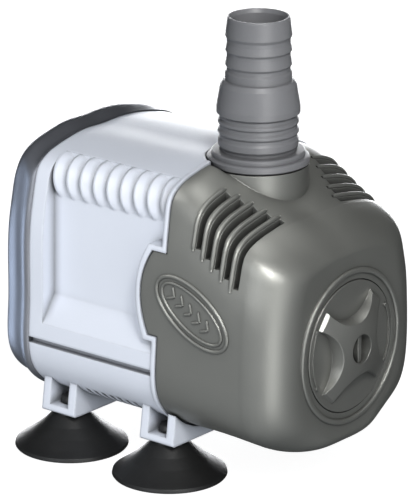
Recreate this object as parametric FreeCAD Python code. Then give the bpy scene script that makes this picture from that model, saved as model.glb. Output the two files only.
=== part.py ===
"""Submersible circulation pump for ponds and aquariums, in millimetres, +Z up.

The pump faces -Y. Shapes are laid out from the outlet's vertical axis (x = 0, y = 0) and from the plane
that the suction cups stand on (z = 0). Each finished piece is then moved by OUTLET_Y, so that the frame's
origin lies under the middle of the whole pump.
"""
import FreeCAD, Part
import math
import os

os.makedirs("parts", exist_ok=True)

V = FreeCAD.Vector
X = V(1, 0, 0)
Y = V(0, 1, 0)
Z = V(0, 0, 1)

# Driving dimensions -------------------------------------------------------------------------------

HALF_WIDTH = 38.7          # half the body's width, at its widest
ROOF = 97.5                # top of the body
BELLY = 12.9               # lowest line of the body
AXIS_Z = 43.9              # height of the rotor's axis, which is also the dial's
WALL = 2.4                 # wall thickness of the mouldings
GAP = 0.3                  # air between mouldings that come apart
FIT = 0.05                 # radial clearance of a running fit

SEAM_HIGH = 4.8            # front seam above the ear tabs, and below them
SEAM_LOW = 8.1
SLOPE_START = 7.5          # where the roof starts to slope down towards the front
SEAM_REAR = 60.0           # rear edge of the motor housing
REAR = 74.0                # flat of the rear cover
FACE = -36.0               # flat of the front cover
BULKHEAD = 12.5            # front of the wall that closes the motor
BULKHEAD_THICK = 2.5

NECK_R = 11.6              # outlet neck of the pump chamber, outside
NECK_BORE = 8.8
NECK_TOP = 95.4
SPIGOT_R = 9.9             # plug of the hose tail inside the neck
FLOW_R = 8.3               # water way through the hose tail
FLANGE_R = 15.7
FLANGE_LOW = 95.7
HOSE_SMALL_R = 10.2        # barbs for hose of 20 mm bore
HOSE_LARGE_R = 12.8        # barbs for hose of 25 mm bore
TAIL_TOP = 141.4

CUP_R = 17.9
CUP_X = 30.0
BRACKET_LOW = 11.7
BRACKET_WIDTH = 13.4
BRACKET_ROWS = {"front": 10.5, "rear": 50.7}

GLAND_Z = 56.0
CORD_R = 3.3               # the cord that the gland is made for is 6.6 mm thick
GLAND_END = 83.0

DIAL_R = 20.7
KNOB_TOP = 4.6             # how far the dial's hub stands out of the face
OUTLET_Y = 0.5 * (KNOB_TOP - FACE - GLAND_END)


# Helpers ------------------------------------------------------------------------------------------

def save(name, shape):
    """Move a finished piece to the frame's origin and write it."""
    moved = shape.copy()
    moved.translate(V(0, OUTLET_Y, 0))
    moved.exportStep(os.path.join("parts", name + ".step"))


def span(x0, x1, y0, y1, z0, z1):
    """A box between two corners."""
    return Part.makeBox(x1 - x0, y1 - y0, z1 - z0, V(x0, y0, z0))


def rod(radius, y0, y1, x=0.0, z=AXIS_Z):
    """A cylinder along Y."""
    return Part.makeCylinder(radius, y1 - y0, V(x, y0, z), Y)


def ring(outer, inner, y0, y1, x=0.0, z=AXIS_Z):
    """A washer or tube along Y."""
    return rod(outer, y0, y1, x, z).cut(rod(inner, y0 - 1, y1 + 1, x, z))


def post(radius, z0, z1, x=0.0, y=0.0):
    """A cylinder along Z."""
    return Part.makeCylinder(radius, z1 - z0, V(x, y, z0), Z)


def turned(profile, centre, up, start):
    """Turn a closed outline of (radius, height) points round an axis."""
    points = [centre + start * r + up * h for r, h in profile]
    wire = Part.makePolygon(points + points[:1])
    return Part.Face(wire).revolve(centre, up, 360)


def mirror_x(shape):
    return shape.mirror(V(0, 0, 0), X)


def both_sides(shape):
    return shape.fuse(mirror_x(shape))


def joined(shapes):
    result = shapes[0]
    for shape in shapes[1:]:
        result = result.fuse(shape)
    return result.removeSplitter()


def prism_y(points, y0, y1):
    """Extrude an (x, z) outline along Y."""
    corners = [V(x, y0, z) for x, z in points]
    wire = Part.makePolygon(corners + corners[:1])
    return Part.Face(wire).extrude(Y * (y1 - y0))


# The body's cross-section, as shares of its half width and of its height -------------------------

SECTION = [
    (0.0, 1.0), (0.308, 0.999), (0.566, 0.980), (0.756, 0.954), (0.859, 0.920), (0.918, 0.845),
    (0.964, 0.745), (0.992, 0.600), (1.0, 0.378), (0.975, 0.166), (0.790, 0.073), (0.437, 0.019),
    (0.0, 0.0),
]
TUCK = {                   # the lower corner's points as they are at the face, where it is rounder
    9: (0.838, 0.173), 10: (0.587, 0.091), 11: (0.437, 0.024),
}


def section(half_width, roof, belly, y, tuck=0.0):
    """The body's outline at one station along its length, as one closed smooth curve."""
    right = []
    for n, (u, v) in enumerate(SECTION):
        tucked = TUCK.get(n, (u, v))
        u += tuck * (tucked[0] - u)
        v += tuck * (tucked[1] - v)
        right.append(V(u * half_width, y, belly + v * (roof - belly)))
    left = [V(-p.x, y, p.z) for p in right[-2:0:-1]]
    curve = Part.BSplineCurve()
    curve.interpolate(right + left, PeriodicFlag=True)
    return Part.Wire(curve.toShape())


def body_prism(inset, y0, y1):
    """The body's constant cross-section between two stations, drawn in by inset."""
    wire = section(HALF_WIDTH - inset, ROOF - inset, BELLY + inset, y0)
    return Part.Face(wire).extrude(Y * (y1 - y0))


def body_loft(stations):
    """A solid through (y, half_width, roof, belly, tuck) stations."""
    wires = [section(w, roof, belly, y, tuck) for y, w, roof, belly, tuck in stations]
    return Part.makeLoft(wires, True, False)


CORNER = 13.1              # radius of the body's upright front edges
FLANK = 38.0               # half the width where those edges start
SLOPE_STATIONS = [         # (y, half_width, roof, belly, tuck); the roof slopes down to the face
    (SLOPE_START, HALF_WIDTH, ROOF, BELLY, 0.0), (0.5, 38.65, 96.5, 12.7, 0.0),
    (-6.5, 38.6, 92.8, 12.3, 0.1), (-14.0, 38.5, 87.7, 11.5, 0.25),
]
CORNER_ROOF = 83.4         # height of the roof where the upright edges start
CORNER_SLOPE = 0.48        # its slope there
CORNER_DROP = 4.0          # how far it curves down besides
CORNER_TUCK = 0.4
FACE_BELLY = (10.2, 16.0)  # height of the belly where the upright edges start, and at the face


def corner_stations(count):
    """Stations round the upright front edges, from the flank to the face."""
    rows = []
    for n in range(count + 1):
        turn = 0.5 * math.pi * n / count
        along = CORNER * math.sin(turn)
        inwards = 1 - math.cos(turn)
        roof = CORNER_ROOF - CORNER_SLOPE * along - CORNER_DROP * inwards
        belly = FACE_BELLY[0] + (FACE_BELLY[1] - FACE_BELLY[0]) * inwards
        tuck = CORNER_TUCK + (1 - CORNER_TUCK) * inwards
        rows.append((FACE + CORNER - along, FLANK - CORNER * inwards, roof, belly, tuck))
    return rows


def front_solid(inset):
    """The body in front of SLOPE_START, drawn in by inset: the sloping part and the rounded front."""
    corner = corner_stations(6)
    parts = []
    for rows in (SLOPE_STATIONS + corner[:1], corner):
        stations = []
        for y, half_width, roof, belly, tuck in rows:
            moved = y if y == SLOPE_START else y + inset
            stations.append((moved, half_width - inset, roof - inset, belly + inset, tuck))
        parts.append(body_loft(stations))
    return parts[0].fuse(parts[1])


EAR_LOW = 47.6             # lower edge of the front cover's ear tabs
EAR_HIGH = 74.2
EAR_TOP_Y = 10.2
EAR_LOW_Y = 11.6
EAR_MID = (14.6, 59.5)     # (y, z) of the ear's furthest point
SEAM_TOP = (7.4, 117.5)    # (y, z) that the seam above the ears points at


def seam_region(grow):
    """Everything in front of the seam between cover and housing, moved outwards by grow."""
    front = FACE - 10
    low = EAR_LOW - grow
    high = EAR_HIGH + grow
    top = SEAM_TOP[1]
    places = [
        (front, 0), (SEAM_LOW + grow, 0), (SEAM_LOW + grow, low), (EAR_LOW_Y + grow, low),
        (EAR_TOP_Y + grow, high), (SEAM_HIGH + grow, high), (SEAM_TOP[0] + grow, top), (front, top),
    ]
    points = [V(-60, y, z) for y, z in places]
    edges = [Part.LineSegment(a, b).toShape() for a, b in zip(points, points[1:] + points[:1])]
    edges[3] = Part.Arc(points[3], V(-60, EAR_MID[0] + grow, EAR_MID[1]), points[4]).toShape()
    return Part.Face(Part.Wire(edges)).extrude(X * 120)


# Motor housing ------------------------------------------------------------------------------------

LIP_WIDTH = 1.6            # raised strip along the front cover's edge
LIP_HEIGHT = 0.45
RECESS_REAR = 54.6
LEDGE_Z = 41.5             # outer edge of the ledge below the side recess
FLOOR_LOW = (33.0, 50.0)   # bottom edge of the recess floor, (x, z)
FLOOR_HIGH = (32.3, 82.0)  # where the recess floor turns up to the shoulder
SHOULDER = (26.3, 94.8)
RIBS = 9
RIB_PITCH = 5.4
RIB_RUN = 5.0              # length over which a rib slopes down to nothing, towards the front
RIB_REAR = 52.4            # rear face of the rearmost rib, at its foot
RIB_CREST = (34.1, 88.5)   # middle of a rib's outline at its rear edge, (x, z)
RIB_SUNK = (29.1, 88.0)    # the same at its front end, which lies under the surface
RIB_LEAN = 0.18            # how much further back a rib is, per millimetre of height above its foot
GROOVE_Z = (34.4, 36.3)


def recess_cutter(inset, y0, y1):
    """The side recess on +X, moved inwards by inset, which also gives the cavity its waist."""
    reach = HALF_WIDTH + 8
    points = [
        (HALF_WIDTH + 0.2 - inset, LEDGE_Z - inset),
        (reach, LEDGE_Z - inset),
        (reach, SHOULDER[1] + 6),
        (SHOULDER[0] + 3 - inset, SHOULDER[1] + 6),
        (SHOULDER[0] - inset, SHOULDER[1] - 0.2),
        (FLOOR_HIGH[0] - inset, FLOOR_HIGH[1]),
        (FLOOR_LOW[0] - inset, FLOOR_LOW[1] - 0.4 * inset),
    ]
    return prism_y(points, y0, y1)


def rib_outline(rear, crest):
    """A crescent between the recess and the shoulder, leaning back."""
    def place(x, z):
        return V(x, rear + RIB_LEAN * (z - FLOOR_HIGH[1]), z)
    foot = place(FLOOR_HIGH[0] - 0.4, FLOOR_HIGH[1] - 0.8)
    top = place(SHOULDER[0] - 0.8, SHOULDER[1] - 0.3)
    root = place(SHOULDER[0] - 1.5, FLOOR_HIGH[1] + 4)
    return Part.Wire([
        Part.Arc(foot, place(*crest), top).toShape(),
        Part.LineSegment(top, root).toShape(),
        Part.LineSegment(root, foot).toShape(),
    ])


def rib(rear):
    """One cooling rib on +X, shaped like a louvre: proud at its rear edge, run out at its front."""
    proud = rib_outline(rear, RIB_CREST)
    run_out = rib_outline(rear - RIB_RUN, RIB_SUNK)
    return Part.makeLoft([proud, run_out], True, True)


def rear_notch(radius, z0, z1):
    """A U-shaped way round the outlet's axis, open towards the rear."""
    return post(radius, z0, z1).fuse(span(-radius, radius, 0, BULKHEAD + 0.5, z0, z1))


def housing():
    body = body_prism(0, SLOPE_START, SEAM_REAR).fuse(front_solid(0))
    raised = body_prism(-LIP_HEIGHT, SLOPE_START, SEAM_REAR).fuse(front_solid(-LIP_HEIGHT))
    strip_edge = seam_region(GAP + LIP_WIDTH)
    recess = recess_cutter(0, 0, RECESS_REAR).cut(strip_edge)
    shell = body.cut(strip_edge).cut(both_sides(recess))
    ribs = [rib(RIB_REAR - RIB_PITCH * n) for n in range(RIBS)]
    shell = shell.fuse(joined(ribs + [mirror_x(r) for r in ribs]))
    shell = shell.fuse(raised.common(strip_edge))

    groove = span(HALF_WIDTH - 1.4, HALF_WIDTH + 2, 0, SEAM_REAR + 1, *GROOVE_Z).cut(strip_edge)
    shell = shell.cut(both_sides(groove))

    behind_ears = body_prism(WALL + GAP, SEAM_LOW + GAP, EAR_MID[0] + 3)
    shell = shell.cut(seam_region(GAP).cut(behind_ears))

    cavity = body_prism(WALL, SLOPE_START, SEAM_REAR + 1).fuse(front_solid(WALL))
    cavity = cavity.cut(both_sides(recess_cutter(WALL, FACE - 1, SEAM_REAR + 2)))
    pad = post(FLANGE_R + 3, 92.8, ROOF - 0.8).common(span(-20, 20, SEAM_HIGH, 30, 0, 110))
    cavity = cavity.cut(pad)
    shell = shell.cut(cavity)
    shell = shell.cut(post(FLANGE_R + 0.5, NECK_TOP, ROOF + 3))
    shell = shell.cut(rear_notch(NECK_R + 0.5, 60, NECK_TOP + 1))
    shell = shell.cut(belly_grooves())
    for row in BRACKET_ROWS.values():
        shell = shell.cut(both_sides(tenon(row, 0.0)))
    return shell, cavity


def belly_grooves():
    """Shallow cooling grooves across the underside, between the feet."""
    cutters = []
    for n in range(7):
        y = 20.5 + 3.2 * n
        bar = span(-34, 34, y, y + 1.4, 0, 25)
        cutters.append(bar.cut(body_prism(0.9, y - 1, y + 3)))
    return joined(cutters)


# Rear cover ---------------------------------------------------------------------------------------

REAR_STATIONS = [          # (y, side inset, belly inset, roof inset) of the rounded rear edge
    (SEAM_REAR, 0.0, 0.0, -0.45), (64.5, 0.4, 0.0, -0.7), (68.8, 2.6, 0.7, -0.9), (71.8, 3.4, 1.5, 4.5),
    (73.5, 5.4, 3.6, 9.5), (REAR, 7.5, 6.0, 12.5),
]


def rear_loft(inset):
    """The rear cover's solid shape, drawn in by inset."""
    stations = []
    for y, side, low, high in REAR_STATIONS:
        moved = y if y == SEAM_REAR else y - inset
        half_width = HALF_WIDTH - side - inset
        stations.append((moved, half_width, ROOF - high - inset, BELLY + low + inset, 0.0))
    return body_loft(stations)


def rear_cover():
    outer = rear_loft(0)
    inner = rear_loft(WALL)
    shell = outer.cut(inner)
    lip = body_prism(WALL + FIT, SEAM_REAR - 3, SEAM_REAR)
    lip = lip.cut(both_sides(recess_cutter(WALL + FIT, 50, SEAM_REAR)))
    root = body_prism(WALL - 0.8, SEAM_REAR, SEAM_REAR + 1.5)
    lip = lip.fuse(root).cut(body_prism(WALL + 1.6, 50, 70))
    lip = lip.cut(both_sides(recess_cutter(WALL + 1.6, 50, 70)))
    shell = shell.fuse(lip)
    shell = shell.cut(rod(6.0 + FIT, 60, 90, z=GLAND_Z))
    return shell


# Front cover --------------------------------------------------------------------------------------

SLOTS = 5
SLOT_PITCH = 3.6
SLOT_FIRST = -6.1
SLOT_WIDTH = 1.8
BELLY_SLOTS = 7
FACE_PAD_R = 25.2
BEAD_R = 23.7


def slot_cutter(n):
    """One intake slot over the +X shoulder, from the roof down to the flank."""
    y = SLOT_FIRST - SLOT_PITCH * n
    inner = 21.8 - 2.0 * n
    low = 77.6 - 2.4 * n
    return span(inner, HALF_WIDTH + 2, y - 0.5 * SLOT_WIDTH, y + 0.5 * SLOT_WIDTH, low, ROOF + 2)


def belly_slot(n):
    y = -3.5 - 3.4 * n
    return span(9, 27, y - 0.8, y + 0.8, 8, 21)


def front_cover():
    inner = front_solid(WALL).fuse(body_prism(WALL, SLOPE_START, 30))
    outer = front_solid(0).fuse(body_prism(0, SLOPE_START, 30)).common(seam_region(0))
    boss_r = FLANGE_R - 0.1
    boss = post(boss_r, 76, NECK_TOP).common(span(-20, 20, -20, 0, 70, 100))
    boss = boss.fuse(span(-boss_r, boss_r, 0, SEAM_HIGH, 76, NECK_TOP)).removeSplitter()
    solid = outer.fuse(boss.cut(inner))
    shell = solid.cut(inner.cut(rod(FACE_PAD_R, FACE, FACE + 5)))

    bead = rod(BEAD_R + 0.9, FACE - 0.9, FACE + 1).cut(rod(BEAD_R - 0.9, FACE - 2, FACE + 2))
    bead = bead.makeFillet(0.6, [e for e in bead.Edges if e.BoundBox.YMax < FACE - 0.8])
    shell = shell.fuse(bead)
    shell = shell.cut(rod(DIAL_R + 0.25, FACE - 3, FACE + 2.2))
    shell = shell.cut(rod(5.0 + FIT, FACE - 3, FACE + 8))

    shell = shell.cut(rear_notch(FLANGE_R + 0.5, NECK_TOP, ROOF + 3))
    shell = shell.cut(rear_notch(NECK_R + 0.5, 60, NECK_TOP + 1))
    for n in range(SLOTS):
        shell = shell.cut(both_sides(slot_cutter(n)))
    for n in range(BELLY_SLOTS):
        shell = shell.cut(both_sides(belly_slot(n)))
    return shell


# Flow dial ----------------------------------------------------------------------------------------

STAR_TIP_R = 18.6
STAR_ANGLES = [50, 141, 229, 322]
HUB_R = 4.6                # well in the middle of the star
DOME_R = 46.0              # the star's top is slightly domed
STEM_END = -17.0
SHUTTER = (-15.0, -13.2)   # rear of the disc's boss and front of the port plate's gap


def star_point(radius, degrees, y):
    angle = math.radians(degrees)
    return V(radius * math.cos(angle), y, AXIS_Z + radius * math.sin(angle))


def star_outline(y, tip, half_tip, waist):
    """Four arms with hollow flanks between them."""
    edges = []
    corners = []
    half = math.degrees(math.asin(half_tip / tip))
    for angle in STAR_ANGLES:
        corners.append((angle - half, angle + half))
    for n, (start, end) in enumerate(corners):
        following = corners[(n + 1) % len(corners)][0]
        if following < end:
            following += 360
        p0 = star_point(tip, start, y)
        p1 = star_point(tip, end, y)
        edges.append(Part.LineSegment(p0, p1).toShape())
        hollow = star_point(waist, 0.5 * (end + following), y)
        edges.append(Part.Arc(p1, hollow, star_point(tip, following, y)).toShape())
    return Part.Wire(edges)


def flow_dial():
    disc = rod(DIAL_R, FACE - 0.3, FACE + 1.9)
    disc = disc.makeFillet(0.35, [e for e in disc.Edges if e.BoundBox.YMax < FACE])
    low = star_outline(FACE - 0.3, STAR_TIP_R, 3.1, 9.4)
    high = star_outline(FACE - KNOB_TOP, STAR_TIP_R - 3.6, 2.0, 8.2)
    star = Part.makeLoft([low, high], True, True)
    rim = math.sqrt(DOME_R ** 2 - HUB_R ** 2)
    dome = Part.makeSphere(DOME_R, V(0, FACE - KNOB_TOP + rim, AXIS_Z))
    star = star.common(dome)
    dial = joined([disc, star, rod(5.0, FACE + 1, STEM_END), dial_scale()])
    hub = rod(HUB_R, FACE - KNOB_TOP - 1, FACE - 0.6)
    web = span(-0.8, 0.8, FACE - KNOB_TOP + 0.9, FACE - 0.6, AXIS_Z - HUB_R, AXIS_Z + HUB_R)
    dial = dial.cut(hub.cut(web))
    dial = dial.cut(ring(7.0, 4.2, FACE + 5.6, FACE + 6.9))
    square = span(-3.2, 3.2, STEM_END, SHUTTER[1] - GAP, AXIS_Z - 3.2, AXIS_Z + 3.2)
    return dial.fuse(square)


def dial_scale():
    """Two thin raised arcs on the disc, each ended by small marks."""
    marks = []
    for centre in (0, 180):
        band = ring(19.4, 18.8, FACE - 0.75, FACE - 0.1)
        wedge = [V(0, FACE - 2, AXIS_Z)]
        for degrees in (-28, -14, 0, 14, 28):
            wedge.append(star_point(26, centre + degrees, FACE - 2))
        wire = Part.makePolygon(wedge + wedge[:1])
        marks.append(band.common(Part.Face(wire).extrude(Y * 4)))
        for degrees in (-28, 28):
            marks.append(rod(0.7, FACE - 0.75, FACE - 0.1, star_point(19.1, centre + degrees, 0).x,
                             star_point(19.1, centre + degrees, 0).z))
    return joined(marks)


PORT_R = (4.9, 12.4)       # inner and outer radius of the intake windows


def port_windows(y0, y1):
    """Two quarter windows, on opposite sides of the axis."""
    band = ring(PORT_R[1], PORT_R[0], y0, y1)
    quarter = span(0, 20, y0 - 1, y1 + 1, AXIS_Z, AXIS_Z + 20)
    pair = quarter.fuse(span(-20, 0, y0 - 1, y1 + 1, AXIS_Z - 20, AXIS_Z))
    return band.common(pair)


def flow_shutter():
    disc = rod(14.0, SHUTTER[0], SHUTTER[1] - GAP).cut(port_windows(SHUTTER[0] - 1, SHUTTER[1]))
    hub = rod(4.8, STEM_END + 0.1, SHUTTER[0])
    hole = span(-3.2, 3.2, STEM_END - 1, SHUTTER[1], AXIS_Z - 3.2, AXIS_Z + 3.2)
    return disc.fuse(hub).cut(hole)


def dial_clip():
    """Open spring ring in the stem's groove, behind the face."""
    clip = ring(7.6, 4.25, FACE + 5.7, FACE + 6.8)
    return clip.cut(span(-2.6, 2.6, FACE, FACE + 9, AXIS_Z - 12, AXIS_Z))


# Pump chamber -------------------------------------------------------------------------------------

CHAMBER_R = 26.8
CHAMBER_BORE = 24.4
CHAMBER_FRONT = -10.0
CHAMBER_REAR = BULKHEAD - GAP


def volute():
    shell = ring(CHAMBER_R, CHAMBER_BORE, CHAMBER_FRONT, CHAMBER_REAR)
    lip = ring(CHAMBER_BORE + 0.5, 22.0, CHAMBER_FRONT, CHAMBER_FRONT + 1.6)
    neck = post(NECK_R, AXIS_Z + 18, NECK_TOP)
    neck = neck.cut(rod(CHAMBER_R + 0.1, -20, CHAMBER_FRONT)).cut(rod(CHAMBER_BORE, -20, 20))
    shell = joined([shell, lip, neck.common(span(-20, 20, -20, CHAMBER_REAR, 0, 110))])
    shell = shell.cut(post(NECK_BORE, AXIS_Z + 15, NECK_TOP + 1))
    shell = shell.cut(post(SPIGOT_R + FIT, 84, NECK_TOP + 1))
    seat = ring(CHAMBER_R - 0.7, CHAMBER_BORE + 0.5, CHAMBER_REAR - 1.3, CHAMBER_REAR + 1)
    return shell.cut(seat)


def volute_seal():
    """O-ring at the rear rim of the chamber."""
    middle = 0.5 * (CHAMBER_R - 0.7 + CHAMBER_BORE + 0.5)
    return Part.makeTorus(middle, 0.55, V(0, CHAMBER_REAR - 0.6, AXIS_Z), Y)


def intake_plate():
    """Front wall of the chamber, with the intake windows and the front bush's seat."""
    disc = rod(CHAMBER_R, CHAMBER_FRONT - 2, CHAMBER_FRONT)
    spigot = ring(21.9, 19.5, CHAMBER_FRONT, CHAMBER_FRONT + 1.5)
    collar = rod(14.8, SHUTTER[1], CHAMBER_FRONT)
    hub = rod(4.9, SHUTTER[1], CHAMBER_FRONT + 1.5)
    plate = joined([disc, spigot, collar, hub])
    plate = plate.cut(port_windows(-20, CHAMBER_FRONT + 2))
    return plate.cut(rod(3.8, SHUTTER[1] + 1, 0))


# Rotor and impeller -------------------------------------------------------------------------------

SHAFT_R = 2.0
MAGNET = (22.0, 47.0)
DOG_HALF = 22.0            # half the angle that each driving tooth takes


def sector(radius, y0, y1, middle):
    """A wedge of a cylinder, DOG_HALF degrees each side of middle."""
    points = [V(0, y0, AXIS_Z)]
    for share in (-1.0, -0.33, 0.33, 1.0):
        points.append(star_point(1.4 * radius, middle + share * DOG_HALF, y0))
    wedge = Part.Face(Part.makePolygon(points + points[:1])).extrude(Y * (y1 - y0))
    return wedge.common(rod(radius, y0, y1))


def rotor_sleeve():
    """Sleeve that the magnet sits on, with a nose and its driving tooth at the front."""
    sleeve = rod(5.0, MAGNET[0] - 1, MAGNET[1] + 1)
    nose = rod(3.5, 10.4, MAGNET[0])
    tooth = sector(5.3, 10.4, 16.6, 0)
    return joined([sleeve, nose, tooth]).cut(rod(SHAFT_R + FIT, 0, 60))


def rotor_magnet():
    magnet = rod(13.8, *MAGNET)
    rims = [e for e in magnet.Edges if e.BoundBox.YLength < 0.01]
    return magnet.makeChamfer(0.6, rims).cut(rod(5.0, 0, 60))


def impeller():
    hub = rod(7.4, -6.6, 16.8)
    disc = rod(20.0, 5.4, 6.9)
    wheel = hub.fuse(disc)
    blade = span(6.0, 20.0, -5.6, 5.6, AXIS_Z - 0.8, AXIS_Z + 0.8)
    for n in range(6):
        turned_blade = blade.copy()
        turned_blade.rotate(V(0, 0, AXIS_Z), Y, 60 * n)
        wheel = wheel.fuse(turned_blade)
    wheel = wheel.cut(rod(5.7, 10.0, 20)).cut(rod(SHAFT_R + FIT, -20, 20))
    tooth = sector(6.2, 10.0, 16.2, 180).cut(rod(3.8, 0, 30))
    return wheel.fuse(tooth).removeSplitter()


def rotor_shaft():
    shaft = rod(SHAFT_R, -11.6, 53.0)
    return shaft.makeChamfer(0.3, [e for e in shaft.Edges if e.BoundBox.YLength < 0.01])


# Stator, coils and potting ------------------------------------------------------------------------

WELL_R = 16.0
WELL_BORE = 14.6
WELL_END = 56.0
STACK = (23.5, 45.5)
LAMINATIONS = 11
LEG = (8.0, 20.0)          # inner and outer x of each leg of the core
COIL_Z = (63.0, 77.5)
BOBBIN_WALL = 1.0
WINDING = 5.6


def rotor_well(cavity):
    """Wall in front of the motor with the can that the rotor runs in."""
    plate = cavity.common(span(-50, 50, BULKHEAD, BULKHEAD + BULKHEAD_THICK, 0, 110))
    can = rod(WELL_R, BULKHEAD, WELL_END)
    well = plate.fuse(can).cut(rod(WELL_BORE, BULKHEAD - 1, WELL_END - 2))
    socket = ring(5.6, 4.0, 50.2, WELL_END - 1)
    return well.fuse(socket).removeSplitter()


def lamination_outline():
    """Core plate: two legs, a yoke over them, and pole shoes round the can."""
    return [
        (2.2, 25), (24, 25), (27.5, 30), (27.5, 58), (LEG[1], 62), (LEG[1], 90), (0, 90),
        (0, 79), (LEG[0], 79), (LEG[0], 61), (2.2, 58),
    ]


def stator():
    pitch = (STACK[1] - STACK[0]) / LAMINATIONS
    side = prism_y(lamination_outline(), STACK[0], STACK[0] + pitch - 0.05)
    plate = both_sides(side).cut(rod(WELL_R, 0, 80)).removeSplitter()
    plates = []
    for n in range(LAMINATIONS):
        copy = plate.copy()
        copy.translate(Y * (pitch * n))
        plates.append(copy)
    return Part.makeCompound(plates)


def frame_solid(grow, z0, z1):
    """A block round one leg of the core, on +X."""
    return span(LEG[0] - grow, LEG[1] + grow, STACK[0] - grow, STACK[1] + grow, z0, z1)


def coil_bobbin():
    core = frame_solid(BOBBIN_WALL, *COIL_Z)
    cheeks = [frame_solid(BOBBIN_WALL + WINDING, z, z + 1.2) for z in (COIL_Z[0], COIL_Z[1] - 1.2)]
    bobbin = joined([core] + cheeks)
    return bobbin.cut(frame_solid(0.02, 50, 100))


def coil_winding():
    block = frame_solid(BOBBIN_WALL + WINDING - 0.4, COIL_Z[0] + 1.2, COIL_Z[1] - 1.2)
    upright = [e for e in block.Edges if e.BoundBox.ZLength > 5]
    return block.makeFillet(4.0, upright).cut(frame_solid(BOBBIN_WALL, 50, 100))


def potting(cavity, pieces):
    """Resin that fills the motor round the core, the coils and the can."""
    resin = cavity.common(span(-50, 50, BULKHEAD + BULKHEAD_THICK, SEAM_REAR - 3.5, 0, 110))
    resin = resin.cut(rod(WELL_R, 0, WELL_END)).cut(rod(6.4, 56, 70, z=GLAND_Z))
    window = span(-LEG[1], LEG[1], *STACK, 60, 90).cut(span(-LEG[0], LEG[0], 0, 60, 50, 79))
    shoes = prism_y(lamination_outline(), *STACK)
    resin = resin.cut(window).cut(both_sides(shoes))
    for piece in pieces:
        resin = resin.cut(piece)
    return resin


# Hose tail ----------------------------------------------------------------------------------------

def hose_tail():
    small = HOSE_SMALL_R
    large = HOSE_LARGE_R
    profile = [
        (FLOW_R, TAIL_TOP - 1.2), (FLOW_R + 0.6, TAIL_TOP), (9.3, TAIL_TOP), (9.6, TAIL_TOP - 0.5),
        (small, 135.6), (9.7, 134.6), (9.7, 133.4), (small, 131.1), (9.7, 130.3), (9.7, 129.3),
        (small, 126.6), (9.7, 125.8), (9.7, 124.9), (small, 124.2), (small, 121.9),
        (10.9, 121.6), (11.7, 120.2), (large, 113.4), (large, 111.6), (11.9, 110.8), (11.9, 109.9),
        (12.35, 109.3), (12.35, 108.5), (11.9, 107.9), (11.9, 106.9), (12.4, 106.3), (12.4, 105.5),
        (11.9, 104.8), (11.9, 103.9), (12.3, 103.2), (12.3, 101.4), (11.9, 100.6), (11.9, 99.9),
        (14.0, 99.7), (14.4, 99.3), (14.4, 98.2), (15.3, 98.0), (FLANGE_R, 97.6),
        (FLANGE_R, 96.1), (15.3, FLANGE_LOW), (SPIGOT_R, FLANGE_LOW), (SPIGOT_R, 91.6), (9.0, 91.6),
        (9.0, 89.6), (SPIGOT_R, 89.6), (SPIGOT_R, 84.6), (9.5, 84.2), (FLOW_R, 84.2),
    ]
    return turned(profile, V(0, 0, 0), Z, X)


def outlet_seal():
    return Part.makeTorus(9.45, 0.44, V(0, 0, 90.6), Z)


# Feet ---------------------------------------------------------------------------------------------

BRACKET_OUT_HIGH = 33.8    # x of the outer face at its top, and at its foot
BRACKET_OUT_LOW = 36.4
BRACKET_IN = 14.5
CHEEK = 3.0
PLATE = 2.4
PEG_R = 3.0


def tenon(row, grow):
    """Peg that holds a bracket in the housing's belly, on +X."""
    return span(17 - grow, 23 + grow, row - 1 - grow, row + 4 + grow, BRACKET_LOW, 17.2 + grow)


def foot_bracket(row, outer):
    """Channel under the body that takes a cup's peg, on +X."""
    half = 0.5 * BRACKET_WIDTH
    side = [
        (BRACKET_IN, BRACKET_LOW), (BRACKET_OUT_LOW - 0.5, BRACKET_LOW), (BRACKET_OUT_LOW, BRACKET_LOW + 0.5),
        (BRACKET_OUT_HIGH, 30), (BRACKET_IN, 30),
    ]
    block = prism_y(side, row - half, row + half)
    hollow = span(24.5, 45, row - half + CHEEK, row + half - CHEEK, BRACKET_LOW + PLATE, 40)
    block = block.cut(hollow)
    block = block.cut(outer).fuse(tenon(row, -FIT)).removeSplitter()
    return block.cut(post(PEG_R + 2 * FIT, 5, 20, CUP_X, row))


def suction_cup(row):
    """Rubber cup with a peg and a round head, on +X."""
    profile = [
        (0, 3.6), (5.0, 3.2), (10.0, 2.0), (15.6, 0.5), (16.3, 0), (17.6, 0), (CUP_R, 0.4),
        (17.7, 1.3), (15.4, 2.8), (12.0, 5.2), (8.7, 7.9), (6.4, 10.3), (5.6, 11.1),
        (5.4, BRACKET_LOW - FIT), (PEG_R, BRACKET_LOW - FIT), (PEG_R, BRACKET_LOW + PLATE + 0.1),
        (3.35, BRACKET_LOW + PLATE + 0.1), (3.4, BRACKET_LOW + PLATE + 0.9),
        (2.9, BRACKET_LOW + PLATE + 2.2), (1.6, BRACKET_LOW + PLATE + 2.9), (0, BRACKET_LOW + PLATE + 3.1),
    ]
    return turned(profile, V(CUP_X, row, 0), Z, X)


# Cord gland ---------------------------------------------------------------------------------------

def hexagon(across, y0, y1):
    """Hexagonal bar along Y, on the gland's axis."""
    radius = across / math.sqrt(3)
    points = [
        (radius * math.cos(math.radians(60 * n)), GLAND_Z + radius * math.sin(math.radians(60 * n)))
        for n in range(6)
    ]
    return prism_y(points, y0, y1)


def gland_body():
    tube = rod(6.0, 67.6, 80.0, z=GLAND_Z).fuse(hexagon(16.5, REAR, REAR + 2.2))
    tube = tube.cut(rod(CORD_R + 0.4, 60, 90, z=GLAND_Z))
    return tube.cut(rod(4.7, 75.0, 90, z=GLAND_Z))


def gland_locknut():
    return hexagon(16.5, 68.4, REAR - WALL).cut(rod(6.0 + FIT, 60, 80, z=GLAND_Z))


def gland_seal():
    return ring(4.65, CORD_R, 75.1, 81.0, z=GLAND_Z)


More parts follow.
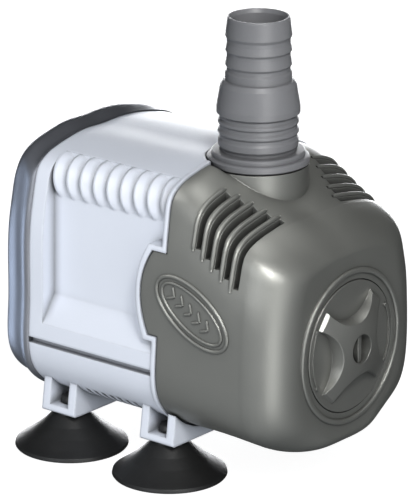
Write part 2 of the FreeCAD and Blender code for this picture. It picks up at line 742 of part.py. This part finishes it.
def gland_nut():
    cap = rod(8.2, REAR + 2.5, GLAND_END, z=GLAND_Z).common(hexagon(15.6, 70, 90))
    rim = [e for e in cap.Edges if e.BoundBox.YMin > GLAND_END - 0.01]
    cap = cap.makeChamfer(0.6, rim)
    cap = cap.cut(rod(6.0 + FIT, 60, 80.2, z=GLAND_Z)).cut(rod(4.7, 80, 81.1, z=GLAND_Z))
    return cap.cut(rod(CORD_R + 0.5, 60, 90, z=GLAND_Z))


# Assembly -----------------------------------------------------------------------------------------

def main():
    shell, cavity = housing()
    save("motor_housing", shell)
    save("rear_cover", rear_cover())
    save("front_cover", front_cover())
    save("flow_dial", flow_dial())
    save("flow_shutter", flow_shutter())
    save("dial_clip", dial_clip())

    save("volute", volute())
    save("volute_seal", volute_seal())
    save("intake_plate", intake_plate())
    save("front_bush", ring(3.8, SHAFT_R + FIT, SHUTTER[1] + 1.1, -8.6))
    save("front_thrust_washer", ring(3.7, SHAFT_R + FIT, -8.4, -7.4))
    save("hose_tail", hose_tail())
    save("outlet_seal", outlet_seal())

    save("rotor_well", rotor_well(cavity))
    save("rotor_shaft", rotor_shaft())
    save("rear_bush", ring(4.0, SHAFT_R, 50.3, WELL_END - 2.1))
    save("rear_thrust_washer", ring(4.4, SHAFT_R + FIT, 48.6, 49.7))
    save("rotor_magnet", rotor_magnet())
    save("rotor_sleeve", rotor_sleeve())
    save("impeller", impeller())

    bobbin = coil_bobbin()
    winding = coil_winding()
    save("stator_laminations", stator())
    for side, place in (("left", mirror_x), ("right", lambda shape: shape)):
        save("coil_bobbin_" + side, place(bobbin))
        save("coil_winding_" + side, place(winding))
    save("potting_resin", potting(cavity, [both_sides(bobbin), both_sides(winding)]))

    strip_rear = SEAM_LOW + GAP + LIP_WIDTH
    under = body_prism(-2 * GAP, SLOPE_START, strip_rear).fuse(body_prism(0, strip_rear, SEAM_REAR))
    under = under.fuse(front_solid(-2 * GAP))
    for row_name, row in BRACKET_ROWS.items():
        bracket = foot_bracket(row, under)
        cup = suction_cup(row)
        for side, place in (("left", mirror_x), ("right", lambda shape: shape)):
            save("foot_bracket_%s_%s" % (row_name, side), place(bracket))
            save("suction_cup_%s_%s" % (row_name, side), place(cup))

    save("cable_gland", gland_body())
    save("gland_locknut", gland_locknut())
    save("gland_seal", gland_seal())
    save("gland_nut", gland_nut())


main()
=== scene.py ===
"""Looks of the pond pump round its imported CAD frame, in metres, in the frame's own axes: front -Y, up +Z."""
import math

import bpy
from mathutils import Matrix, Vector
from mathutils.bvhtree import BVHTree


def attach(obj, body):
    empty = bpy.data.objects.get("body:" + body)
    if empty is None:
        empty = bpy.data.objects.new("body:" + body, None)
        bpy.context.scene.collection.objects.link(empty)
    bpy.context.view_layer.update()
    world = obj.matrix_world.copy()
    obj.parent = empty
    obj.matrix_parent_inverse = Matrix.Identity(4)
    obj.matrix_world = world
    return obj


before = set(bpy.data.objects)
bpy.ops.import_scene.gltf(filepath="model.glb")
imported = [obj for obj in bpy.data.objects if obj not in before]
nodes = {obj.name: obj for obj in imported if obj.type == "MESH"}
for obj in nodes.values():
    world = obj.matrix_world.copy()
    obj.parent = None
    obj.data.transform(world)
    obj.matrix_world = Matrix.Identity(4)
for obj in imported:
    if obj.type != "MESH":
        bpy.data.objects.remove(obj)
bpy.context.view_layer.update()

OUTLET_Y = -0.0212         # where the hose tail's axis stands
OUTSIDE = 0.08             # from here a ray towards the pump's middle starts clear of the surface


# Materials ----------------------------------------------------------------------------------------

BEVEL_SAMPLES = 4
# rays for the painted shade in corners and grooves
SHADE_SAMPLES = 6
EDGE_DOT = (0.97, 0.80)        # rounded normal against true one: where an edge begins, and where it is full
OPENNESS = (0.25, 0.95)        # unhidden share of the surroundings at full painted shade and at none
ROUGH_SPREAD = (0.07, 0.09)    # how much smoother and rougher than stated a surface gets
GRAIN_DEPTH = 0.0001
COAT_ROUGHNESS = 0.25


def make(tree, kind, inputs, **settings):
    """Add a node: its settings, and then its inputs, each a fixed value or another node's output."""
    node = tree.nodes.new(kind)
    for name, value in settings.items():
        setattr(node, name, value)
    for name, source in inputs.items():
        if isinstance(source, bpy.types.NodeSocket):
            tree.links.new(source, node.inputs[name])
        else:
            node.inputs[name].default_value = source
    return node


def rescaled(tree, value, from_range, to_range):
    """A value moved from one range to another, and kept inside it."""
    return make(tree, "ShaderNodeMapRange", {
        "Value": value, "From Min": from_range[0], "From Max": from_range[1],
        "To Min": to_range[0], "To Max": to_range[1]}).outputs[0]


def mixed(tree, factor, first, second):
    """A mix of two colours."""
    return make(tree, "ShaderNodeMix", {"Factor": factor, "A": first, "B": second},
                data_type="RGBA").outputs["Result"]


def mottled(tree, base, strength, broad):
    """The base colour, a little darker and paler in broad patches."""
    darker = tuple(c * (1 - strength) for c in base)
    paler = tuple(min(1.0, c * (1 + strength)) for c in base)
    return mixed(tree, broad, darker + (1.0,), paler + (1.0,))


def worn_edges(tree, colour, worn, wear, rounded, broad):
    """A colour that gives way to the worn one on edges, unevenly."""
    true_normal = tree.nodes.new("ShaderNodeNewGeometry").outputs["Normal"]
    dot = make(tree, "ShaderNodeVectorMath", {0: rounded, 1: true_normal}, operation="DOT_PRODUCT")
    edge = rescaled(tree, dot.outputs["Value"], EDGE_DOT, (0.0, wear))
    broken = make(tree, "ShaderNodeMath", {0: edge, 1: broad}, operation="MULTIPLY")
    return mixed(tree, broken.outputs[0], colour, worn + (1.0,))


def shade_corners(tree, colour, reach, strength):
    """A colour darkened by painted shade in corners and grooves, where less light reaches."""
    open_share = make(tree, "ShaderNodeAmbientOcclusion", {"Distance": reach}, samples=SHADE_SAMPLES)
    kept = rescaled(tree, open_share.outputs["AO"], OPENNESS, (1.0 - strength, 1.0))
    return make(tree, "ShaderNodeVectorMath", {0: colour, "Scale": kept}, operation="SCALE").outputs[0]


def grained(tree, place, grain, stretch, rounded):
    """A normal with softened edges and a fine grain."""
    stretched = make(tree, "ShaderNodeMapping", {"Vector": place, "Scale": stretch}).outputs[0]
    fine = make(tree, "ShaderNodeTexNoise", {
        "Vector": stretched, "Scale": grain[0], "Detail": 3.0, "Roughness": 0.55}).outputs["Fac"]
    return make(tree, "ShaderNodeBump", {
        "Strength": grain[1], "Distance": GRAIN_DEPTH, "Height": fine, "Normal": rounded}).outputs[0]


def surface(name, base, rough, metal=0.0, grain=(1400.0, 0.25), mottle=(55.0, 0.10), round_edge=0.0003,
            wear=0.25, worn=None, coat=0.0, stretch=(1.0, 1.0, 1.0), corner_shade=(0.0025, 0.6), shine=0.5):
    """A plastic, rubber or metal with fine grain, uneven colour, softened edges, a little wear on them and
    painted shade in its corners and grooves.

    grain and mottle are (scale per metre, strength); stretch pulls the grain out along an axis; corner_shade
    is (reach, strength) of the painted shade that darkens the corners and grooves.
    """
    mat = bpy.data.materials.new(name)
    mat.use_nodes = True
    tree = mat.node_tree
    tree.nodes.clear()
    place = tree.nodes.new("ShaderNodeTexCoord").outputs["Object"]
    broad = make(tree, "ShaderNodeTexNoise", {
        "Vector": place, "Scale": mottle[0], "Detail": 5.0, "Roughness": 0.6}).outputs["Fac"]
    rounded = make(tree, "ShaderNodeBevel", {"Radius": round_edge}, samples=BEVEL_SAMPLES).outputs[0]

    worn = worn or tuple(min(1.0, c * 1.6 + 0.02) for c in base)
    colour = mottled(tree, base, mottle[1], broad)
    colour = worn_edges(tree, colour, worn, wear, rounded, broad)
    # painted shade: darker where the surface is hidden from its surroundings, in corners and grooves
    colour = shade_corners(tree, colour, *corner_shade)
    rough_range = (max(0.03, rough - ROUGH_SPREAD[0]), min(1.0, rough + ROUGH_SPREAD[1]))
    bsdf = make(tree, "ShaderNodeBsdfPrincipled", {
        "Base Color": colour, "Metallic": metal, "Specular IOR Level": shine,
        "Roughness": rescaled(tree, broad, (0.0, 1.0), rough_range),
        "Coat Weight": coat, "Coat Roughness": COAT_ROUGHNESS,
        "Normal": grained(tree, place, grain, stretch, rounded)})
    make(tree, "ShaderNodeOutputMaterial", {"Surface": bsdf.outputs[0]})
    return mat


# The (reach, strength) pairs below that darken corners are painted shade, deepest in the housing's groove and
# rib gaps and in the tail's bore.
HOUSING = surface("pale_moulding", (0.66, 0.69, 0.76), 0.42, round_edge=0.0012, mottle=(40.0, 0.03),
                  wear=0.1, corner_shade=(0.0035, 0.8))
REAR = surface("rear_moulding", (0.200, 0.207, 0.230), 0.42, metal=0.75, round_edge=0.0006,
               wear=0.15, corner_shade=(0.002, 0.5))
COVER = surface("cover_moulding", (0.190, 0.192, 0.178), 0.42, metal=0.55, round_edge=0.0004,
                grain=(1800.0, 0.22), mottle=(45.0, 0.06), wear=0.35, corner_shade=(0.003, 0.8))
DIAL = surface("dial_moulding", (0.200, 0.201, 0.187), 0.36, metal=0.55, round_edge=0.0004,
               grain=(1800.0, 0.2), mottle=(70.0, 0.08), wear=0.45, corner_shade=(0.003, 0.8))
TAIL = surface("tail_moulding", (0.165, 0.166, 0.174), 0.40, mottle=(90.0, 0.08), wear=0.35,
               corner_shade=(0.008, 0.86))
CUPS = surface("cup_rubber", (0.010, 0.010, 0.010), 0.42, round_edge=0.0004, grain=(900.0, 0.35),
               mottle=(120.0, 0.3), wear=0.5, worn=(0.05, 0.05, 0.048), shine=0.40)
SEALS = surface("seal_rubber", (0.02, 0.02, 0.021), 0.5, round_edge=0.0002)
CORE = surface("core_steel", (0.38, 0.39, 0.41), 0.38, metal=1.0, grain=(900.0, 0.3),
               stretch=(1.0, 6.0, 1.0))
COPPER = surface("winding_enamel", (0.62, 0.22, 0.07), 0.28, metal=0.7, grain=(700.0, 0.8), coat=0.6,
                 stretch=(0.1, 0.1, 3.0))
BOBBIN = surface("bobbin_nylon", (0.72, 0.69, 0.60), 0.45)
RESIN = surface("cast_resin", (0.03, 0.035, 0.05), 0.2, grain=(300.0, 0.2), coat=0.4)
CERAMIC = surface("ceramic", (0.80, 0.79, 0.75), 0.16, grain=(2500.0, 0.1), coat=0.5)
MAGNET = surface("ground_magnet", (0.10, 0.10, 0.11), 0.35, metal=0.8, grain=(1500.0, 0.5),
                 stretch=(1.0, 0.1, 1.0))
IMPELLER = surface("impeller_moulding", (0.05, 0.09, 0.22), 0.38)
CHAMBER = surface("chamber_moulding", (0.06, 0.065, 0.08), 0.40)
GLAND = surface("gland_nylon", (0.022, 0.022, 0.024), 0.42, round_edge=0.0004, wear=0.5)
SPRING = surface("spring_steel", (0.55, 0.55, 0.57), 0.25, metal=1.0, stretch=(1.0, 0.2, 1.0))

BY_NODE = {
    "motor_housing": HOUSING, "rear_cover": REAR, "front_cover": COVER, "flow_dial": DIAL,
    "flow_shutter": CHAMBER, "dial_clip": SPRING, "volute": CHAMBER, "volute_seal": SEALS,
    "intake_plate": CHAMBER, "front_bush": SEALS, "front_thrust_washer": CERAMIC, "hose_tail": TAIL,
    "outlet_seal": SEALS, "rotor_well": CHAMBER, "rotor_shaft": CERAMIC, "rear_bush": SEALS,
    "rear_thrust_washer": CERAMIC, "rotor_magnet": MAGNET, "rotor_sleeve": BOBBIN, "impeller": IMPELLER,
    "stator_laminations": CORE, "coil_bobbin_left": BOBBIN, "coil_bobbin_right": BOBBIN,
    "coil_winding_left": COPPER, "coil_winding_right": COPPER, "potting_resin": RESIN,
    "cable_gland": GLAND, "gland_locknut": GLAND, "gland_seal": SEALS, "gland_nut": GLAND,
}
for name, obj in nodes.items():
    if name.startswith("foot_bracket"):
        mat = HOUSING
    elif name.startswith("suction_cup"):
        mat = CUPS
    else:
        mat = BY_NODE[name]
    obj.data.materials.clear()
    obj.data.materials.append(mat)


# Raised marks and ribs on the strainer cover ------------------------------------------------------

BEAD_SIDES = 9             # points across a bead's round back
BEAD_SUNK = 0.00012        # how far its foot lies under the surface
END_SIZE = 0.6             # an open bead's ends against its middle
END_TAPER = 5.0            # how fast it grows from there

cover_mesh = nodes["front_cover"].data
cover_skin = BVHTree.FromPolygons([v.co.copy() for v in cover_mesh.vertices],
                                  [tuple(p.vertices) for p in cover_mesh.polygons])
raised = []


def sided(name, side):
    """A name with its side, which is -1 for left and 1 for right."""
    return "%s_%s" % (name, "right" if side > 0 else "left")


def on_cover(aim, way):
    """The cover's outer surface on the line through aim along way, and its normal there."""
    hit, normal, _, _ = cover_skin.ray_cast(aim + way * OUTSIDE, -way)
    return hit, normal if normal.dot(way) > 0 else -normal


def bead(name, places, width, height, closed=False):
    """A raised rib with a round back along (point, normal) places on the cover; an open one's ends taper."""
    verts = []
    count = len(places)
    for n, (point, up) in enumerate(places):
        before = places[(n - 1) % count if closed or n else 0][0]
        after = places[(n + 1) % count if closed or n < count - 1 else -1][0]
        across = (after - before).normalized().cross(up).normalized()
        share = 1.0
        if not closed:
            from_end = min(n, count - 1 - n) / (0.5 * (count - 1))
            share = math.sqrt(min(1.0, END_SIZE ** 2 + END_TAPER * from_end))
        for k in range(BEAD_SIDES):
            angle = math.pi * k / (BEAD_SIDES - 1)
            verts.append(point + across * (0.5 * width * share * math.cos(angle))
                         + up * (height * share * math.sin(angle) - BEAD_SUNK))
    faces = []
    for n in range(count if closed else count - 1):
        a, b = n * BEAD_SIDES, ((n + 1) % count) * BEAD_SIDES
        for k in range(BEAD_SIDES - 1):
            faces.append((a + k, a + k + 1, b + k + 1, b + k))
        faces.append((a, b, b + BEAD_SIDES - 1, a + BEAD_SIDES - 1))
    if not closed:
        faces.append(tuple(range(BEAD_SIDES)))
        faces.append(tuple(reversed(range((count - 1) * BEAD_SIDES, count * BEAD_SIDES))))
    mesh = bpy.data.meshes.new(name)
    mesh.from_pydata([tuple(v) for v in verts], [], faces)
    for polygon in mesh.polygons:
        polygon.use_smooth = True
    mesh.materials.append(COVER)
    obj = bpy.data.objects.new(name, mesh)
    bpy.context.scene.collection.objects.link(obj)
    bpy.context.view_layer.update()
    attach(obj, "front_cover")
    raised.append(obj)


SLOTS = 5
SLOT_PITCH = 0.0036
BAR_Y = OUTLET_Y - 0.0043      # middle of the bar behind the first intake slot
SHOULDER = (0.0218, 0.0776)    # middle of the shoulder's bend at the first bar, (x, z)
SHOULDER_STEP = (0.0020, 0.0024)   # how much nearer and lower it is at each further bar
RIB_ARC = (-3, 93)             # degrees, from the flank up to the roof
RIB_POINTS = 41
RIB_SIZE = (0.0016, 0.0009)    # width and height


def slot_rib(side, n):
    """A rounded rib on the bar behind one intake slot, from the flank over the shoulder to the roof."""
    middle = Vector((side * (SHOULDER[0] - SHOULDER_STEP[0] * n), BAR_Y - SLOT_PITCH * n,
                     SHOULDER[1] - SHOULDER_STEP[1] * n))
    places = []
    for k in range(RIB_POINTS):
        angle = math.radians(RIB_ARC[0] + (RIB_ARC[1] - RIB_ARC[0]) * k / (RIB_POINTS - 1))
        places.append(on_cover(middle, Vector((side * math.cos(angle), 0.0, math.sin(angle)))))
    bead(sided("slot_rib_%d" % n, side), places, *RIB_SIZE)


GRIP = (OUTLET_Y - 0.0052, 0.0576)         # middle of the grip mark, (y, z)
GRIP_TILT = math.radians(31)
GRIP_OVALS = [                             # (name, half length, half width, bead's width, its height)
    ("rim", 0.0151, 0.0076, 0.0014, 0.0008),
    ("line", 0.0129, 0.0055, 0.0011, 0.0007),
]
OVAL_POINTS = 96
CHEVRONS = 5
CHEVRON_PITCH = 0.0038
CHEVRON_ARM = (0.0022, 0.0024)             # one arm's reach along and across the mark
STROKE_POINTS = 9
STROKE_SIZE = (0.0010, 0.0007)


def on_grip(side, along, across):
    """A place on the grip mark's own axes, laid on the flank. The long axis rises towards the rear."""
    y = GRIP[0] + along * math.cos(GRIP_TILT) - across * math.sin(GRIP_TILT)
    z = GRIP[1] + along * math.sin(GRIP_TILT) + across * math.cos(GRIP_TILT)
    return on_cover(Vector((0.0, y, z)), Vector((side, 0, 0)))


def grip_oval(side, label, major, minor, width, height):
    turns = [2 * math.pi * n / OVAL_POINTS for n in range(OVAL_POINTS)]
    places = [on_grip(side, major * math.cos(t), minor * math.sin(t)) for t in turns]
    bead(sided("grip_" + label, side), places, width, height, closed=True)


def grip_stroke(side, label, start, end):
    places = []
    for n in range(STROKE_POINTS):
        share = n / (STROKE_POINTS - 1)
        places.append(on_grip(side, *[a + (b - a) * share for a, b in zip(start, end)]))
    bead(sided("grip_" + label, side), places, *STROKE_SIZE)


def grip_mark(side):
    """Two ovals round a row of chevrons that point forwards, the way the cover comes off."""
    for oval in GRIP_OVALS:
        grip_oval(side, *oval)
    for n in range(CHEVRONS):
        tip = CHEVRON_PITCH * ((CHEVRONS - 1) / 2 - n)
        grip_stroke(side, "chevron_%d_high" % n, (tip + CHEVRON_ARM[0], CHEVRON_ARM[1]), (tip, 0.0))
        grip_stroke(side, "chevron_%d_low" % n, (tip, 0.0), (tip + CHEVRON_ARM[0], -CHEVRON_ARM[1]))


for side in (-1, 1):
    for n in range(SLOTS):
        slot_rib(side, n)
for side in (-1, 1):
    grip_mark(side)


# Studio -------------------------------------------------------------------------------------------

scene = bpy.context.scene
scene.view_settings.view_transform = "Standard"
scene.view_settings.look = "None"

AZIMUTH = math.radians(-50.66)             # of the camera, round from the front
ELEVATION = math.radians(18.19)
AIM = Vector((-0.02463, OUTLET_Y, 0.0733))
DISTANCE = 1.1155
towards = Vector((math.sin(AZIMUTH) * math.cos(ELEVATION), -math.cos(AZIMUTH) * math.cos(ELEVATION),
                  math.sin(ELEVATION)))    # from the pump to the camera


def staged(name, corners, mat):
    """One flat sheet of the studio."""
    mesh = bpy.data.meshes.new(name)
    mesh.from_pydata(corners, [], [(0, 1, 2, 3)])
    mesh.materials.append(mat)
    obj = bpy.data.objects.new(name, mesh)
    scene.collection.objects.link(obj)
    return obj


def glowing(name, strength, diffuse):
    """A pale matt surface that also gives off light, so that it stays even."""
    mat = bpy.data.materials.new(name)
    mat.use_nodes = True
    bsdf = mat.node_tree.nodes["Principled BSDF"]
    bsdf.inputs["Base Color"].default_value = (diffuse, diffuse, diffuse, 1.0)
    bsdf.inputs["Roughness"].default_value = 0.9
    bsdf.inputs["Specular IOR Level"].default_value = 0.0
    bsdf.inputs["Emission Color"].default_value = (1.0, 1.0, 1.0, 1.0)
    bsdf.inputs["Emission Strength"].default_value = strength
    return mat


def floor_sheet():
    """The pale floor, a hair below the cups. It takes shadows, but doesn't light the pump or show in it."""
    half, z = 6.0, -0.0004
    corners = [(-half, -half, z), (half, -half, z), (half, half, z), (-half, half, z)]
    floor = staged("studio_floor", corners, glowing("floor_paint", 0.93, 0.35))
    floor.visible_glossy = False
    floor.visible_diffuse = False
    floor.visible_shadow = False


def backdrop_sheet():
    """An upright white sheet behind the pump, facing the camera. Nothing is lit by it or mirrors it."""
    half, behind = 3.0, 4.0
    sideways = Vector((math.cos(AZIMUTH), math.sin(AZIMUTH), 0.0))
    corners = [tuple(sideways * (half * a) + Vector((0, 0, half * b)) - towards * behind)
               for a, b in ((-1, -1), (1, -1), (1, 1), (-1, 1))]
    backdrop = staged("studio_backdrop", corners, glowing("backdrop_paint", 1.0, 0.0))
    backdrop.visible_glossy = False
    backdrop.visible_diffuse = False


def room_light():
    """A dim cool world that is brighter from the left and the front."""
    world = bpy.data.worlds.new("studio")
    scene.world = world
    world.use_nodes = True
    tree = world.node_tree
    direction = tree.nodes.new("ShaderNodeTexCoord").outputs["Generated"]
    brightest = Vector((-0.85, -0.45, -0.1)).normalized()
    facing = make(tree, "ShaderNodeVectorMath", {0: direction, 1: brightest}, operation="DOT_PRODUCT")
    falloff = make(tree, "ShaderNodeMapRange", {
        "Value": facing.outputs["Value"], "From Min": -0.7, "From Max": 1.0, "To Min": 0.02, "To Max": 0.62,
    }, interpolation_type="SMOOTHSTEP")
    background = tree.nodes["Background"]
    background.inputs["Color"].default_value = (0.90, 0.95, 1.0, 1.0)
    tree.links.new(falloff.outputs[0], background.inputs["Strength"])


LIT_POINT = Vector((0.0, -0.01, 0.06))     # where all softboxes aim
SHEEN_DISTANCE = 0.9
COOL = (0.97, 0.98, 1.0)
WARM = (1.0, 0.99, 0.97)
WHITE = (1.0, 1.0, 1.0)
SOFT_WHITE = (1.0, 1.0, 0.99)
BLUE = (0.66, 0.79, 1.0)

ALL_PARTS = list(nodes.values()) + raised
ALL_BUT_TAIL = [obj for name, obj in nodes.items() if name != "hose_tail"] + raised
COVER_PARTS = [nodes["front_cover"], nodes["flow_dial"]] + raised

SOFTBOXES = [              # (name, direction, distance, size, power, colour, what it falls on)
    ("key_left", (-0.95, -0.12, 0.30), 0.9, (0.6, 0.4), 3.2, COOL, ALL_BUT_TAIL),
    ("corner_high", (-0.50, -0.60, 0.66), 0.9, (0.20, 0.20), 4.0, WARM, None),
    ("front_fill", (-0.32, -0.91, 0.25), 1.0, (0.6, 0.6), 1.6, WARM, None),
    ("back_fill", (0.75, 0.62, 0.03), 1.0, (0.7, 0.4), 10.0, COOL, None),
    ("tail_front", (-0.38, -0.74, 0.42), 0.9, (0.25, 0.5), 2.4, WHITE, [nodes["hose_tail"]]),
]
SHEENS = [                 # the same without the distance, for those that only show in reflections
    ("corner_sheen", (-0.54, -0.60, 0.60), (0.25, 0.25), 7.0, SOFT_WHITE, COVER_PARTS),
    ("edge_sheen", (-0.50, -0.80, -0.31), (0.44, 0.40), 2.4, SOFT_WHITE, ALL_PARTS),
    ("shoulder_sheen", (-0.30, 0.58, 0.72), (0.50, 0.45), 4.0, SOFT_WHITE, COVER_PARTS),
    ("roof_sheen", (0.20, 0.05, 0.95), (0.45, 0.45), 3.4, SOFT_WHITE, COVER_PARTS),
    ("cool_rim", (-0.40, 0.86, -0.28), (0.40, 0.50), 3.2, BLUE, [nodes["rear_cover"]]),
]


def softbox(name, direction, distance, size, power, colour, receivers):
    """A rectangular area light, aimed at the pump; it falls on the receivers only, if there are any."""
    light = bpy.data.lights.new(name, "AREA")
    light.shape = "RECTANGLE"
    light.size, light.size_y = size
    light.energy = power
    light.color = colour
    obj = bpy.data.objects.new(name, light)
    scene.collection.objects.link(obj)
    way = Vector(direction).normalized()
    obj.location = LIT_POINT + way * distance
    obj.rotation_euler = way.to_track_quat("Z", "Y").to_euler()
    if receivers:
        lit = bpy.data.collections.new(name + "_receivers")
        for receiver in receivers:
            lit.objects.link(receiver)
        obj.light_linking.receiver_collection = lit
    return obj


def set_camera():
    """A long lens from the left of the front, a little above the pump."""
    data = bpy.data.cameras.new("camera")
    data.lens = 265.68
    data.sensor_width = 36.0
    data.clip_start = 0.01
    data.clip_end = 100.0
    camera = bpy.data.objects.new("camera", data)
    scene.collection.objects.link(camera)
    camera.location = AIM + towards * DISTANCE
    camera.rotation_euler = towards.to_track_quat("Z", "Y").to_euler()
    scene.camera = camera


floor_sheet()
room_light()
for box in SOFTBOXES:
    softbox(*box)
for name, direction, size, power, colour, receivers in SHEENS:
    sheen = softbox(name, direction, SHEEN_DISTANCE, size, power, colour, receivers)
    sheen.visible_diffuse = False
set_camera()
backdrop_sheet()
